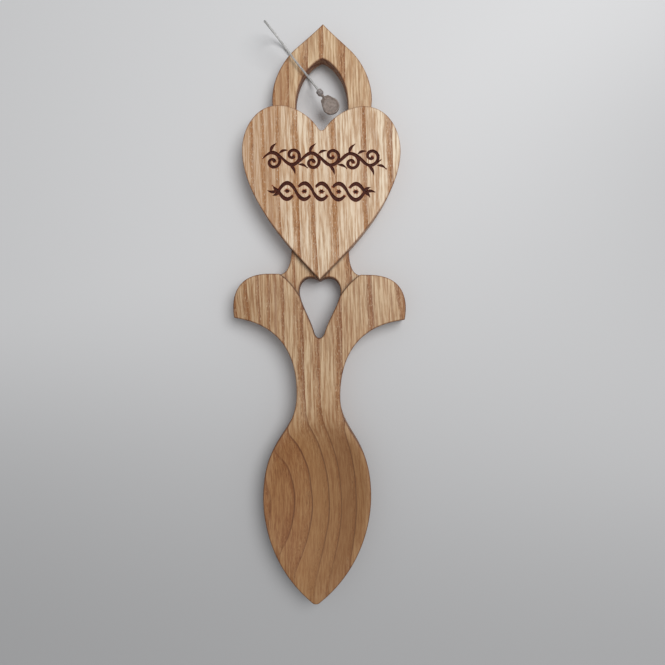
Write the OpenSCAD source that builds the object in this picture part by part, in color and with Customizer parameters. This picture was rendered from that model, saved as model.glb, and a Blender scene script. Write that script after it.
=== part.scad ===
// Welsh love spoon, carved from a flat ash board, with a looped tag tie on its hanging loop.
// The spoon lies on its back: +Z is out of the carved face and +Y points to the hanging loop.
// The origin is under the middle of the spoon's length. All sizes are in millimetres.

/* [Board] */
// Full thickness of the board
board_t = 9.5; // [8:0.5:12]
// Depth of the recessed loop and neck below the carved face
recess = 2.5; // [1.5:0.1:3]

/* [Bowl] */
// Length from the bowl's tip to the waist of the stem
bowl_l = 86; // [76:1:100]
// Greatest width of the bowl
bowl_w = 44.4; // [36:0.2:52]
// Greatest depth of the hollow
hollow_depth = 4.5; // [3:0.1:5.5]
// Width of the rim left round the hollow
rim = 1.4; // [0.8:0.1:2.5]
// Thickness of the rim's edge at the widest place
rim_t = 4; // [3:0.1:5]
// Thickness of the bowl's pointed end
tip_t = 3.5; // [2.5:0.1:5]

/* [Stem and leaves] */
// Width of the stem at its waist
stem_w = 18; // [14:0.5:22]
// Length from the waist to the tops of the leaves
leaf_l = 49.7; // [44:0.1:58]
// Distance across the two leaf tips
leaf_span = 70.8; // [64:0.2:78]
// Height of a leaf from its tip to its top
leaf_h = 18.2; // [15:0.1:22]
// How far the leaf faces fall towards their tips
leaf_fall = 2.4; // [1:0.1:3.5]
// Width of the neck between the leaves and the heart
neck_w = 24; // [21:0.5:26]

/* [Heart-shaped cut-out] */
// Greatest width of the cut-out
cutout_w = 17.4; // [15:0.2:18.4]
// Length of the cut-out from its lobes to its lower end
cutout_l = 25.4; // [20:0.2:28]

/* [Raised heart] */
// Width of the heart
heart_w = 65.2; // [60:0.2:72]
// Length of the heart from its tip to the tops of its lobes
heart_l = 71.5; // [66:0.5:80]
// Depth of the notch between the lobes
notch_d = 10.1; // [8:0.1:12]

/* [Hanging loop] */
// Length of the loop from the tops of the heart's lobes to its tip
loop_l = 35.1; // [33:0.1:40]
// Width of the loop
loop_w = 41.5; // [40:0.5:46]
// Width of the hole in the loop
loop_hole_w = 21.8; // [20.8:0.2:23]
// Wood left between the hole and the loop's tip
loop_tip_wall = 14.5; // [11:0.1:15]
// Depth of the relief on the back of the loop, which the tie passes under
loop_relief = 2.2; // [1.8:0.1:2.6]

/* [Tag tie] */
// Diameter of the nylon filament
filament_d = 0.9; // [0.7:0.05:1]
// Diameter of the lock bead
lock_d = 2.6; // [2.4:0.1:3]
// Length of the lock bead
lock_l = 2.4; // [2:0.1:3]
// Diameter of the grip disc
disc_d = 7; // [6:0.1:8]
// Thickness of the grip disc at its rim
disc_t = 1.2; // [1:0.1:1.6]

/* [Hidden] */

// Points on each curved stretch of an outline
curve_n = 14;
// How far a cutting shape runs past the wood
past = 2;
ash = [0.80, 0.62, 0.42];
ash_light = [0.84, 0.67, 0.47];
nylon = [0.80, 0.80, 0.80, 0.6];
disc_grey = [0.62, 0.58, 0.59, 0.8];

// Stations along the spoon, from the bowl's tip up
heart_drop = 2.3;
spoon_l = bowl_l + leaf_l - heart_drop + heart_l + loop_l;
y_tip = -spoon_l / 2;
y_waist = y_tip + bowl_l;
y_leaf = y_waist + leaf_l;
y_heart = y_leaf - heart_drop;
y_lobe = y_heart + heart_l;
y_top = y_lobe + loop_l;
z_recess = board_t - recess;

// A cubic curve from a to d with the handles b and c, without its last point
function curve(a, b, c, d, n = curve_n) =
    [for (i = [0:n - 1]) let (t = i / n, u = 1 - t)
        u * u * u * a + 3 * u * u * t * b + 3 * u * t * t * c + t * t * t * d];

// A right-hand outline and its mirror image on the left
function both(right) =
    concat(right, [for (i = [len(right) - 1:-1:0]) if (right[i].x > 0) [-right[i].x, right[i].y]]);

// Bowl outline from its blunt tip to its widest place, and on to the waist
bowl_r = bowl_w / 2;
y_wide = y_tip + 0.51 * bowl_l;
tip_side = [0.058 * bowl_r, y_tip + 0.004 * bowl_l];
bowl_tip = curve([0, y_tip], [0.4 * tip_side.x, y_tip], [0.72 * tip_side.x, tip_side.y - 0.0032 * bowl_l],
    tip_side, 5);
bowl_low = curve(tip_side, [0.946 * bowl_r, y_tip + 0.188 * bowl_l],
    [bowl_r, y_wide - 0.07 * bowl_l], [bowl_r, y_wide], 20);
bowl_high = curve([bowl_r, y_wide], [bowl_r, y_wide + 0.3 * bowl_l],
    [stem_w / 2, y_waist - 0.2 * bowl_l], [stem_w / 2, y_waist], 20);

// Stem and leaf outline from the waist to the neck
leaf_x = leaf_span / 2;
y_leaf_tip = y_leaf - leaf_h;
leaf_top_x = 0.575 * leaf_x;
neck_x = neck_w / 2;
stem_side = curve([stem_w / 2, y_waist], [stem_w / 2, y_leaf_tip - 0.06 * leaf_h],
    [0.938 * leaf_x, y_leaf_tip - 0.055 * leaf_h], [leaf_x, y_leaf_tip], 20);
leaf_side = curve([leaf_x, y_leaf_tip], [1.023 * leaf_x, y_leaf_tip + 0.24 * leaf_h],
    [1.054 * leaf_x, y_leaf], [leaf_top_x, y_leaf]);
fillet_x = neck_x + 5.1;
neck_fillet = curve([fillet_x, y_leaf], [neck_x + 0.3, y_leaf],
    [neck_x, y_leaf + 8], [neck_x, y_leaf + 9.3], 8);
handle = both(concat(bowl_tip, bowl_low, bowl_high, stem_side, leaf_side, neck_fillet,
    [[neck_x, y_heart + heart_l / 2]]));

// Heart outline from its tip, round a lobe, to the bottom of the notch
heart_x = heart_w / 2;
y_notch = y_lobe - notch_d;
y_heart_wide = y_heart + 0.744 * heart_l;
lobe_x = 0.537 * heart_x;
heart_low = curve([0, y_heart], [0.2 * heart_x, y_heart + 0.105 * heart_l],
    [heart_x, y_heart + 0.43 * heart_l], [heart_x, y_heart_wide], 20);
heart_side = curve([heart_x, y_heart_wide], [heart_x, y_heart_wide + 0.115 * heart_l],
    [0.847 * heart_x, y_lobe], [lobe_x, y_lobe]);
notch_side = curve([lobe_x, y_lobe], [0.37 * heart_x, y_lobe],
    [0.17 * heart_x, y_lobe - 0.33 * notch_d], [0.05 * heart_x, y_notch + 0.12 * notch_d]);
notch_end = curve([0.05 * heart_x, y_notch + 0.12 * notch_d], [0.035 * heart_x, y_notch + 0.03 * notch_d],
    [0.02 * heart_x, y_notch], [0, y_notch], 5);
heart_outline = both(concat(heart_low, heart_side, notch_side, notch_end, [[0, y_notch]]));

// Hanging loop, an onion shape with a pointed hole that opens into the notch
loop_x = loop_w / 2;
loop_hole_x = loop_hole_w / 2;
y_apex = y_top - loop_tip_wall;
loop_side = curve([loop_x, y_lobe + 0.1 * loop_l], [loop_x, y_lobe + 0.34 * loop_l],
    [0.8 * loop_x, y_lobe + 0.55 * loop_l], [0.58 * loop_x, y_top - 0.318 * loop_l]);
loop_end = curve([0.58 * loop_x, y_top - 0.318 * loop_l], [0.43 * loop_x, y_top - 0.235 * loop_l],
    [0.17 * loop_x, y_top - 0.105 * loop_l], [0, y_top], 8);
loop_outline = both(concat([[0.98 * loop_x, y_lobe - notch_d / 3]], loop_side, loop_end, [[0, y_top]]));
loop_hole_side = curve([0, y_apex], [0.13 * loop_hole_x, y_apex],
    [loop_hole_x, y_apex - 0.25 * (y_apex - y_lobe)], [loop_hole_x, y_lobe]);
loop_hole = both(concat(loop_hole_side, [[loop_hole_x, y_lobe], [loop_hole_x, y_notch]]));

// Heart-shaped cut-out, whose cusp stands at the raised heart's tip
cutout_x = cutout_w / 2;
y_cut_top = y_heart + 1.4;
y_cut_low = y_cut_top - cutout_l;
cut_lobe = curve([0, y_heart], [0.12 * cutout_x, y_heart + 0.9], [0.28 * cutout_x, y_cut_top],
    [0.5 * cutout_x, y_cut_top], 6);
cut_side = curve([0.5 * cutout_x, y_cut_top], [0.78 * cutout_x, y_cut_top],
    [cutout_x, y_cut_top - 0.11 * cutout_l], [cutout_x, y_cut_top - 0.22 * cutout_l], 8);
cut_low = curve([cutout_x, y_cut_top - 0.22 * cutout_l], [cutout_x, y_cut_top - 0.4 * cutout_l],
    [0.42 * cutout_x, y_cut_low + 0.3 * cutout_l], [0.27 * cutout_x, y_cut_low + 0.1 * cutout_l]);
cut_end = curve([0.27 * cutout_x, y_cut_low + 0.1 * cutout_l], [0.21 * cutout_x, y_cut_low + 0.03 * cutout_l],
    [0.12 * cutout_x, y_cut_low], [0, y_cut_low], 5);
cutout = both(concat(cut_lobe, cut_side, cut_low, cut_end, [[0, y_cut_low]]));

// Edge of the recess along the leaves, an arc from each leaf's top to the cut-out
arc_top = [fillet_x, y_leaf + 0.1];
arc_low = [0.89 * cutout_x, y_cut_top - 0.37 * cutout_l];
leaf_arc = curve(arc_top, arc_top + [-2.6, -1.2], arc_low + [1.9, 3.9], arc_low);

// Hollow of the bowl: a shape turned about an axis far above the face, so that each cross-section
// is one arc from rim to rim, and its depth follows the outline
hollow_x = bowl_r - rim;
hollow_h = (hollow_x * hollow_x - hollow_depth * hollow_depth) / (2 * hollow_depth);
y_hollow_low = y_tip + 2 * rim;
y_hollow_high = y_waist - 0.055 * bowl_l;
hollow_half = concat(
    curve([0, y_hollow_low], [0.97 * hollow_x, y_hollow_low + 0.197 * bowl_l],
        [hollow_x, y_wide - 0.07 * bowl_l], [hollow_x, y_wide], 20),
    curve([hollow_x, y_wide], [hollow_x, y_wide + 0.27 * bowl_l],
        [0.42 * hollow_x, y_hollow_high - 0.11 * bowl_l], [0, y_hollow_high], 20),
    [[0, y_hollow_high]]);

// Round back of the bowl: an arc from edge to edge at the widest place, which runs out at the waist
back_rise = board_t - rim_t;
back_h = (bowl_r * bowl_r + back_rise * back_rise) / (2 * back_rise);
back_side = curve([back_h - (board_t - tip_t), y_tip - past], [back_h - 1.1, y_tip + 0.2 * bowl_l],
    [back_h, y_wide - 0.16 * bowl_l], [back_h, y_wide - 0.04 * bowl_l]);
back_end = curve([back_h, y_wide - 0.04 * bowl_l], [back_h, y_wide + 0.22 * bowl_l],
    [back_h + 1.6, y_waist - 0.1 * bowl_l], [back_h + 1.8, y_waist]);

module along_y(z) {
    translate([0, 0, z]) rotate([-90, 0, 0]) mirror([0, 1, 0]) children();
}

module bowl_hollow() {
    along_y(board_t + hollow_h) rotate_extrude($fn = 180)
        polygon(concat([[0, y_hollow_low]],
            [for (p = hollow_half) [sqrt(p.x * p.x + hollow_h * hollow_h), p.y]],
            [[0, y_hollow_high]]));
}

module bowl_back() {
    along_y(back_h) rotate_extrude($fn = 180)
        polygon(concat(back_side, back_end,
            [[back_h + 1.8, y_waist], [2 * back_h, y_waist], [2 * back_h, y_tip - past]]));
}

// Everything above the recessed level, from the leaves' arcs to the tip of the loop
module front_recess() {
    wide = heart_x + past;
    translate([0, 0, z_recess]) linear_extrude(recess + past)
        polygon(both(concat([[0, arc_low.y]], [for (i = [len(leaf_arc) - 1:-1:0]) leaf_arc[i]],
            [[arc_top.x, y_leaf + 0.4], [wide, y_leaf + 0.4], [wide, y_top + past], [0, y_top + past]])));
}

// Relief on the back of the loop, with a slope up to it from the back of the heart
module loop_back_relief() {
    y0 = y_lobe - 1;
    rotate([90, 0, 90]) translate([0, 0, -loop_w]) linear_extrude(2 * loop_w)
        polygon([[y0, -past], [y0, 0], [y0 + 2 * loop_relief, loop_relief],
            [y_top + past, loop_relief], [y_top + past, -past]]);
}

// The fall of a leaf's face, an arc across a line that leans outwards
module leaf_face_fall() {
    lean = 22;
    start = 0.42 * leaf_x;
    reach = leaf_x - start;
    fall_r = reach * reach / (2 * leaf_fall);
    lift = 0.1;
    translate([start, y_leaf_tip, board_t]) rotate([0, 0, -lean]) difference() {
        translate([0, -1.2 * leaf_h, -board_t]) cube([leaf_x, 3 * leaf_h, board_t + past]);
        translate([0, 3 * leaf_h, lift - fall_r]) rotate([90, 0, 0])
            cylinder(h = 6 * leaf_h, r = fall_r, $fn = 360);
    }
}

module spoon_body() {
    color(ash) difference() {
        linear_extrude(board_t) difference() {
            union() {
                polygon(handle);
                polygon(heart_outline);
                difference() {
                    polygon(loop_outline);
                    polygon(loop_hole);
                }
            }
            polygon(cutout);
        }
        front_recess();
        loop_back_relief();
        bowl_hollow();
        bowl_back();
        leaf_face_fall();
        mirror([1, 0, 0]) leaf_face_fall();
    }
}

module heart() {
    color(ash_light) translate([0, 0, z_recess]) linear_extrude(recess) polygon(heart_outline);
}

// The tie's own frame: its lock bead, and the direction from the bead out over the loop's left arm
lock_at = [-0.8, 91, 7.5];
tie_out = [-0.64, 0.768, 0];
tie_across = [0.768, 0.64, 0];
tie_angle = atan2(tie_out.y, tie_out.x);
// Distance from the lock bead to the middle of the grip disc
disc_reach = 7.1;
neck_d = 1.1;

// Middle of the filament, from the lock over the arm to the far bend and back under the arm
filament_route = [
    [-1.6, 91.9, 8.1], [-3, 93.6, 8.3], [-5.3, 96.4, 8.6], [-7.8, 99.4, 8.7], [-10.7, 102.9, 8.8],
    [-13.6, 106.4, 9.2], [-16.3, 109.4, 10.4], [-19, 112.2, 11.9], [-21.2, 114.4, 13],
    [-22.7, 116.1, 13.3], [-23.4, 117.4, 12.2], [-23.1, 118.1, 10], [-22.1, 118.1, 7.4],
    [-20.7, 117.6, 4.8], [-19, 116.4, 2.6], [-17, 114.5, 1.2], [-14.9, 111.9, 0.6],
    [-12.3, 108.6, 0.55], [-9.3, 104.9, 0.55], [-6.6, 101.5, 0.6], [-4.9, 98.8, 1.6],
    [-3.5, 96.4, 3.4], [-2.6, 94.5, 5.2], [-1.9, 93, 6.5], [-1.6, 91.9, 6.9]];
filament_sides = 8;
route_last = len(filament_route) - 1;

// A point on the smooth curve between the route's points i and i + 1
function route_point(i, t) =
    let (p = filament_route[max(i - 1, 0)], a = filament_route[i], b = filament_route[i + 1],
        q = filament_route[min(i + 2, route_last)])
    0.5 * (2 * a + (b - p) * t + (2 * p - 5 * a + 4 * b - q) * t * t + (3 * a - p - 3 * b + q) * t * t * t);
filament_line = concat([for (i = [0:route_last - 1], t = [0, 0.5]) route_point(i, t)],
    [filament_route[route_last]]);
line_last = len(filament_line) - 1;

function unit(v) = v / norm(v);
// Both ends of the filament stand square on the lock bead's flat face
function heading(i) = i == 0 ? tie_out : i == line_last ? -tie_out
    : unit(filament_line[i + 1] - filament_line[i - 1]);
function ring(i) =
    let (ahead = heading(i), side = unit(tie_across - (tie_across * ahead) * ahead), up = cross(ahead, side))
    [for (k = [0:filament_sides - 1]) let (a = 360 * k / filament_sides)
        filament_line[i] + filament_d / 2 * (cos(a) * side + sin(a) * up)];

module tie_filament() {
    n = filament_sides;
    color(nylon) polyhedron(
        points = [for (i = [0:line_last]) each ring(i)],
        faces = concat(
            [[for (k = [0:n - 1]) k]],
            [for (i = [0:line_last - 1], k = [0:n - 1]) let (a = i * n + k, b = i * n + (k + 1) % n)
                each [[a, a + n, b + n], [a, b + n, b]]],
            [[for (k = [n - 1:-1:0]) line_last * n + k]]));
}

// Places a shape with its Z axis along the tie, at a distance beyond the lock bead's middle
module on_tie(beyond) {
    translate(lock_at - beyond * tie_out) rotate([0, 0, tie_angle]) rotate([0, 90, 0]) children();
}

module tie_lock() {
    r = lock_d / 2;
    h = lock_l / 2;
    color(nylon) on_tie(0) rotate_extrude($fn = 48)
        polygon([[0, -h], [0.55 * r, -h], [r, -0.4 * h], [r, 0.6 * h], [0.88 * r, h], [0, h]]);
}

// A thin grip disc with a raised rim, whose flat shoulders taper to a round neck on the lock bead
module tie_disc() {
    r = disc_d / 2;
    rim_w = 0.7;
    web_t = disc_t - 0.5;
    side = [disc_reach - 0.43 * r, 0.9 * r];
    shoulder = [disc_reach - 1.24 * r, 0.54 * r];
    root = [disc_reach - 1.38 * r, 0.42 * neck_d];
    color(disc_grey) union() {
        translate(lock_at - disc_reach * tie_out) rotate_extrude($fn = 96)
            polygon([[0, -web_t / 2], [r - rim_w, -web_t / 2], [r - 0.8 * rim_w, -disc_t / 2],
                [r - 0.2 * rim_w, -disc_t / 2], [r, -disc_t / 4], [r, disc_t / 4],
                [r - 0.2 * rim_w, disc_t / 2], [r - 0.8 * rim_w, disc_t / 2],
                [r - rim_w, web_t / 2], [0, web_t / 2]]);
        translate(lock_at - [0, 0, web_t / 2]) rotate([0, 0, tie_angle + 180]) linear_extrude(web_t)
            polygon([root, shoulder, side, [disc_reach, 0], [side.x, -side.y], [shoulder.x, -shoulder.y],
                [root.x, -root.y]]);
        on_tie(disc_reach - r + rim_w / 2)
            cylinder(h = disc_reach - r + rim_w / 2 - lock_l / 2, d = neck_d, $fn = 32);
    }
}

spoon_body();
heart();
tie_filament();
tie_lock();
tie_disc();
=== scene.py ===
"""Looks of the welsh love spoon: carved ash with a burnt ornament, and a nylon tag tie."""

import math

import bpy
import numpy as np
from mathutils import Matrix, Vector
from mathutils.geometry import delaunay_2d_cdt


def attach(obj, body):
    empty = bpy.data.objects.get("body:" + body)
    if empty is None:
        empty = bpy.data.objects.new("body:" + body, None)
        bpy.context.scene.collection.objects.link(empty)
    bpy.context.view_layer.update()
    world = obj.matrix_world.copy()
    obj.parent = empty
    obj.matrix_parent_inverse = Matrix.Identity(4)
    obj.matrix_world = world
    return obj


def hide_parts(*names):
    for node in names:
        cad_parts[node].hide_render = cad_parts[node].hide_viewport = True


MM = 0.001
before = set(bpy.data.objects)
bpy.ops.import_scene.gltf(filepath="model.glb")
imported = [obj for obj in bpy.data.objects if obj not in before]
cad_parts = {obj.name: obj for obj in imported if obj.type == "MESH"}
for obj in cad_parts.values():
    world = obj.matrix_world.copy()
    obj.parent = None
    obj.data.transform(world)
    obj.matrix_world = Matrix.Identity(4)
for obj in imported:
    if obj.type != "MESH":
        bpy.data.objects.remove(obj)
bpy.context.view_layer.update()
rng = np.random.default_rng(18)


def add_object(name, data):
    """A new object in the scene."""
    item = bpy.data.objects.new(name, data)
    bpy.context.scene.collection.objects.link(item)
    return item


# Camera of the photograph: straight above the spoon, which leans a little in its frame

CAMERA_AT = (0.0055, -0.0082, 0.2105)
CAMERA_TURN = 0.676
CAMERA_LENS = 26.53

camera_data = bpy.data.cameras.new("camera")
camera_data.sensor_width = 36
camera_data.lens = CAMERA_LENS
camera_data.clip_start = 0.01
camera = add_object("camera", camera_data)
camera.location = CAMERA_AT
camera.rotation_euler = (0, 0, math.radians(CAMERA_TURN))
bpy.context.scene.camera = camera


# Node materials

class Value:
    """A value in a material's node tree, which can be reckoned with like a number."""

    def __init__(self, nodes, socket):
        self.nodes = nodes
        self.socket = socket

    def __add__(self, other):
        return self.nodes.math("ADD", self, other)

    def __sub__(self, other):
        return self.nodes.math("SUBTRACT", self, other)

    def __rsub__(self, other):
        return self.nodes.math("SUBTRACT", other, self)

    def __mul__(self, other):
        return self.nodes.math("MULTIPLY", self, other)

    __radd__ = __add__

    def ramp(self, low, high, to_low=0.0, to_high=1.0, smooth=True):
        """The value carried over from one range to another, and held at the ends."""
        kind = "SMOOTHSTEP" if smooth else "LINEAR"
        node = self.nodes.node("ShaderNodeMapRange", interpolation_type=kind)
        for socket, number in zip(node.inputs, (self, low, high, to_low, to_high)):
            self.nodes.feed(socket, number)
        return Value(self.nodes, node.outputs[0])


class Nodes:
    """Short calls that build a material's node tree."""

    def __init__(self, name):
        self.material = bpy.data.materials.new(name)
        self.material.use_nodes = True
        self.tree = self.material.node_tree
        self.tree.nodes.clear()
        self.shader = self.tree.nodes.new("ShaderNodeBsdfPrincipled")
        output = self.tree.nodes.new("ShaderNodeOutputMaterial")
        self.tree.links.new(self.shader.outputs["BSDF"], output.inputs["Surface"])

    def node(self, kind, **settings):
        """A new node with its settings."""
        node = self.tree.nodes.new(kind)
        for key, value in settings.items():
            setattr(node, key, value)
        return node

    def feed(self, socket, value):
        """A number, a colour or another node's value for a socket."""
        if isinstance(value, Value):
            self.tree.links.new(value.socket, socket)
        else:
            socket.default_value = value

    def math(self, operation, *values):
        """A reckoning with numbers or values."""
        node = self.node("ShaderNodeMath", operation=operation)
        for socket, value in zip(node.inputs, values):
            self.feed(socket, value)
        return Value(self, node.outputs[0])

    def object_mm(self):
        """X, Y and Z of the surface in the spoon's own frame, in millimetres."""
        place = self.node("ShaderNodeTexCoord").outputs["Object"]
        parts = self.node("ShaderNodeSeparateXYZ")
        self.tree.links.new(place, parts.inputs[0])
        return [Value(self, axis) * 1000.0 for axis in parts.outputs]

    def noise(self, place, detail=2.0, roughness=0.5):
        """Noise from 0 to 1 at a place that is given as X, Y and Z."""
        point = self.node("ShaderNodeCombineXYZ")
        for socket, value in zip(point.inputs, place):
            self.feed(socket, value)
        node = self.node("ShaderNodeTexNoise")
        self.tree.links.new(point.outputs[0], node.inputs["Vector"])
        node.inputs["Scale"].default_value = 1.0
        node.inputs["Detail"].default_value = detail
        node.inputs["Roughness"].default_value = roughness
        return Value(self, node.outputs["Fac"])

    def attribute(self, name):
        """A mark that a mesh carries at its points."""
        return Value(self, self.node("ShaderNodeAttribute", attribute_name=name).outputs["Fac"])

    def mix(self, factor, a, b, blend="MIX"):
        """One colour changed to another by a factor from 0 to 1."""
        node = self.node("ShaderNodeMix", data_type="RGBA", blend_type=blend)
        self.feed(node.inputs[0], factor)
        self.feed(node.inputs[6], a)
        self.feed(node.inputs[7], b)
        return Value(self, node.outputs[2])

    def layers(self, colour, layers, within=None):
        """Tones laid over a colour. Each layer is its strength, its tone and how it is blended."""
        for strength, tone, *blend in layers:
            share = strength if within is None else within * strength
            colour = self.mix(share, colour, srgb(*tone), *blend)
        return colour

    def bump(self, height, distance, strength):
        """Fine relief in the shading, with its full height in metres."""
        node = self.node("ShaderNodeBump")
        node.inputs["Strength"].default_value = strength
        node.inputs["Distance"].default_value = distance
        self.feed(node.inputs["Height"], height)
        self.tree.links.new(node.outputs[0], self.shader.inputs["Normal"])

    def set(self, **values):
        """Values for the shader's inputs, with _ for each space in their names."""
        for name, value in values.items():
            self.feed(self.shader.inputs[name.replace("_", " ")], value)


def srgb(r, g, b):
    """A colour given in 0 to 255, as Blender's linear colour."""
    shares = [c / 255 for c in (r, g, b)]
    return (*(((s + 0.055) / 1.055) ** 2.4 if s > 0.04045 else s / 12.92 for s in shares), 1.0)


# Growth rings: planes that slant through the board. RING_EDGES are the late edges of the dark
# bands in millimetres across the carved face, at RING_Y beside the middle of the raised heart.
RING_EDGES = [-47, -39.5, -32.5, -27, -22.6, -16.6, -8.8, -2.3, 7.0, 19.6, 30.6, 36.5, 45]
RING_Y = 50.0
RING_LEAN = 0.0389
RING_SLANT = 1.86
RING_BEND = 0.000076
PALE, TAN, BROWN = (222, 196, 164), (181, 126, 74), (140, 82, 40)


def ring_clock(n, across):
    """Which growth ring a place across the board lies in, and how far through that ring it is."""
    first, last = RING_EDGES[0], RING_EDGES[-1]
    count = len(RING_EDGES) - 1
    dial = n.node("ShaderNodeFloatCurve")
    points = dial.mapping.curves[0].points
    for i, edge in enumerate(RING_EDGES):
        spot = ((edge - first) / (last - first), i / count)
        if i in (0, count):
            points[0 if i == 0 else -1].location = spot
        else:
            points.new(*spot)
    for point in points:
        point.handle_type = "VECTOR"
    dial.mapping.update()
    n.feed(dial.inputs["Value"], across.ramp(first, last, smooth=False))
    ring = Value(n, dial.outputs[0]) * count
    year = n.math("FLOOR", ring + 0.0001)
    return year, ring - year


def ring_bands(n, year, age, flat):
    """Each ring's dark porous band, the crisp line that ends it, and 0 where the ring is over."""
    chance = n.node("ShaderNodeTexWhiteNoise", noise_dimensions="1D")
    n.feed(chance.inputs["W"], year + 3.7)
    luck = Value(n, chance.outputs["Value"])
    narrow = year.ramp(7.4, 8.0, 0.0, 0.24)
    narrow = narrow + n.math("ABSOLUTE", year - 4.0).ramp(0.0, 0.5, 0.30, 0.0)
    start = luck.ramp(0.0, 1.0, 0.30, 0.58, smooth=False) + flat * narrow
    going = age.ramp(0.975, 1.0, 1.0, 0.0)
    band = age.ramp(start, 0.93) * going * luck.ramp(0.0, 1.0, 0.75, 1.0, smooth=False)
    line = age.ramp(0.86 - flat * 0.15, 0.965) * going
    return band, line, going


def fibre_layers(grain, band, flat, quiet):
    """Dark fibres show most in the dark bands, and light ones in the pale wood between them."""
    dark = 1.0 + flat * band.ramp(0.0, 0.7, -0.34, -0.04)
    light = 1.0 + flat * band.ramp(0.0, 0.7, -0.12, -0.66)
    reeded = flat.ramp(0.0, 1.0, 0.24, 0.70)
    return [
        (grain["streak"].ramp(0.46, 0.62, 0.0, 0.62) * quiet * dark, (182, 126, 72)),
        (grain["thread"].ramp(0.50, 0.66, 0.0, 0.72) * quiet * dark, (156, 104, 58)),
        (grain["thread"].ramp(0.48, 0.32, 0.0, 0.72) * quiet * light, (242, 226, 202)),
        (grain["dash"].ramp(0.50, 0.66, 0.0, 0.50) * dark, (158, 108, 62)),
        (grain["dash"].ramp(0.48, 0.33, 0.0, 0.58) * light, (243, 228, 204)),
        (grain["hair"].ramp(0.50, 0.64, 0.0, 0.50) * dark, (150, 102, 60)),
        (grain["hair"].ramp(0.48, 0.34, 0.0, 0.44) * light, (244, 230, 208)),
        (grain["reed"].ramp(0.50, 0.64) * reeded * dark, (150, 100, 56)),
        (grain["reed"].ramp(0.50, 0.36) * reeded * light, (246, 230, 206)),
        (grain["cloud"].ramp(0.35, 0.70, 0.0, 0.22), (192, 146, 100))]


def face_layers(across, y):
    """A false ring, a darker and browner left side, and a lower part a little darker as painted
    shade, where the light falls off, on the flat wood.
    """
    false_ring = across.ramp(-21.4, -20.4) * across.ramp(-20.2, -19.6, 1.0, 0.0)
    left_side = across.ramp(-13.5, -18.5, 0.0, 0.46) * y.ramp(18.0, 30.0, 0.35, 1.0)
    return [
        (false_ring * 0.55, BROWN),
        (left_side, (174, 126, 84)),
        # Painted shade: the lower part of the flat wood darkens a little, as the light falls off
        (y.ramp(26.0, 2.0), (238, 234, 230), "MULTIPLY")]


def bowl_layers(x, year, age, going, dash, fade):
    """The bowl is darker all over, with thin ring lines: partly oil sunk deeper into its wood,
    partly painted shade where the light falls off. Its left slope is darker still, as painted
    shade.
    """
    dull_year = year.ramp(5.5, 7.0) * year.ramp(7.0, 8.2, 1.0, 0.25)
    clear_year = year.ramp(4.2, 5.0) * year.ramp(5.0, 5.8, 1.0, 0.0)
    warm = age.ramp(0.58, 0.97) * going * dash.ramp(0.35, 0.6, 0.6, 1.0)
    crisp = age.ramp(0.875, 0.955) * going
    return [
        (0.30, (168, 126, 86)),
        (dull_year * 0.26, (140, 90, 52)),
        (clear_year * 0.30, (196, 162, 120)),
        (1.0, (214, 190, 158), "MULTIPLY"),
        (warm * fade * 0.42, (142, 88, 44)),
        (crisp * fade * 0.80, (106, 66, 36)),
        (x.ramp(-9.0, 1.0, 0.0, 0.16), (166, 140, 110)),
        # Painted shade on the left slope of the hollow
        (x.ramp(-3.0, -14.0), (240, 232, 222), "MULTIPLY")]


def burn_in(n, colour, x, y):
    """Burnt strokes: sooty at the bottom and scorched brown at their sides."""
    burn = n.attribute("burn")
    char = n.noise((x * 3.0, y * 1.2, 0.0), 3.0)
    soot = n.mix(char.ramp(0.3, 0.75), srgb(38, 11, 3), srgb(94, 36, 14))
    scorched = n.mix(burn.ramp(0.35, 0.85), srgb(136, 66, 30), soot)
    return n.mix(burn.ramp(0.02, 0.30), colour, scorched), burn, char


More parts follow.
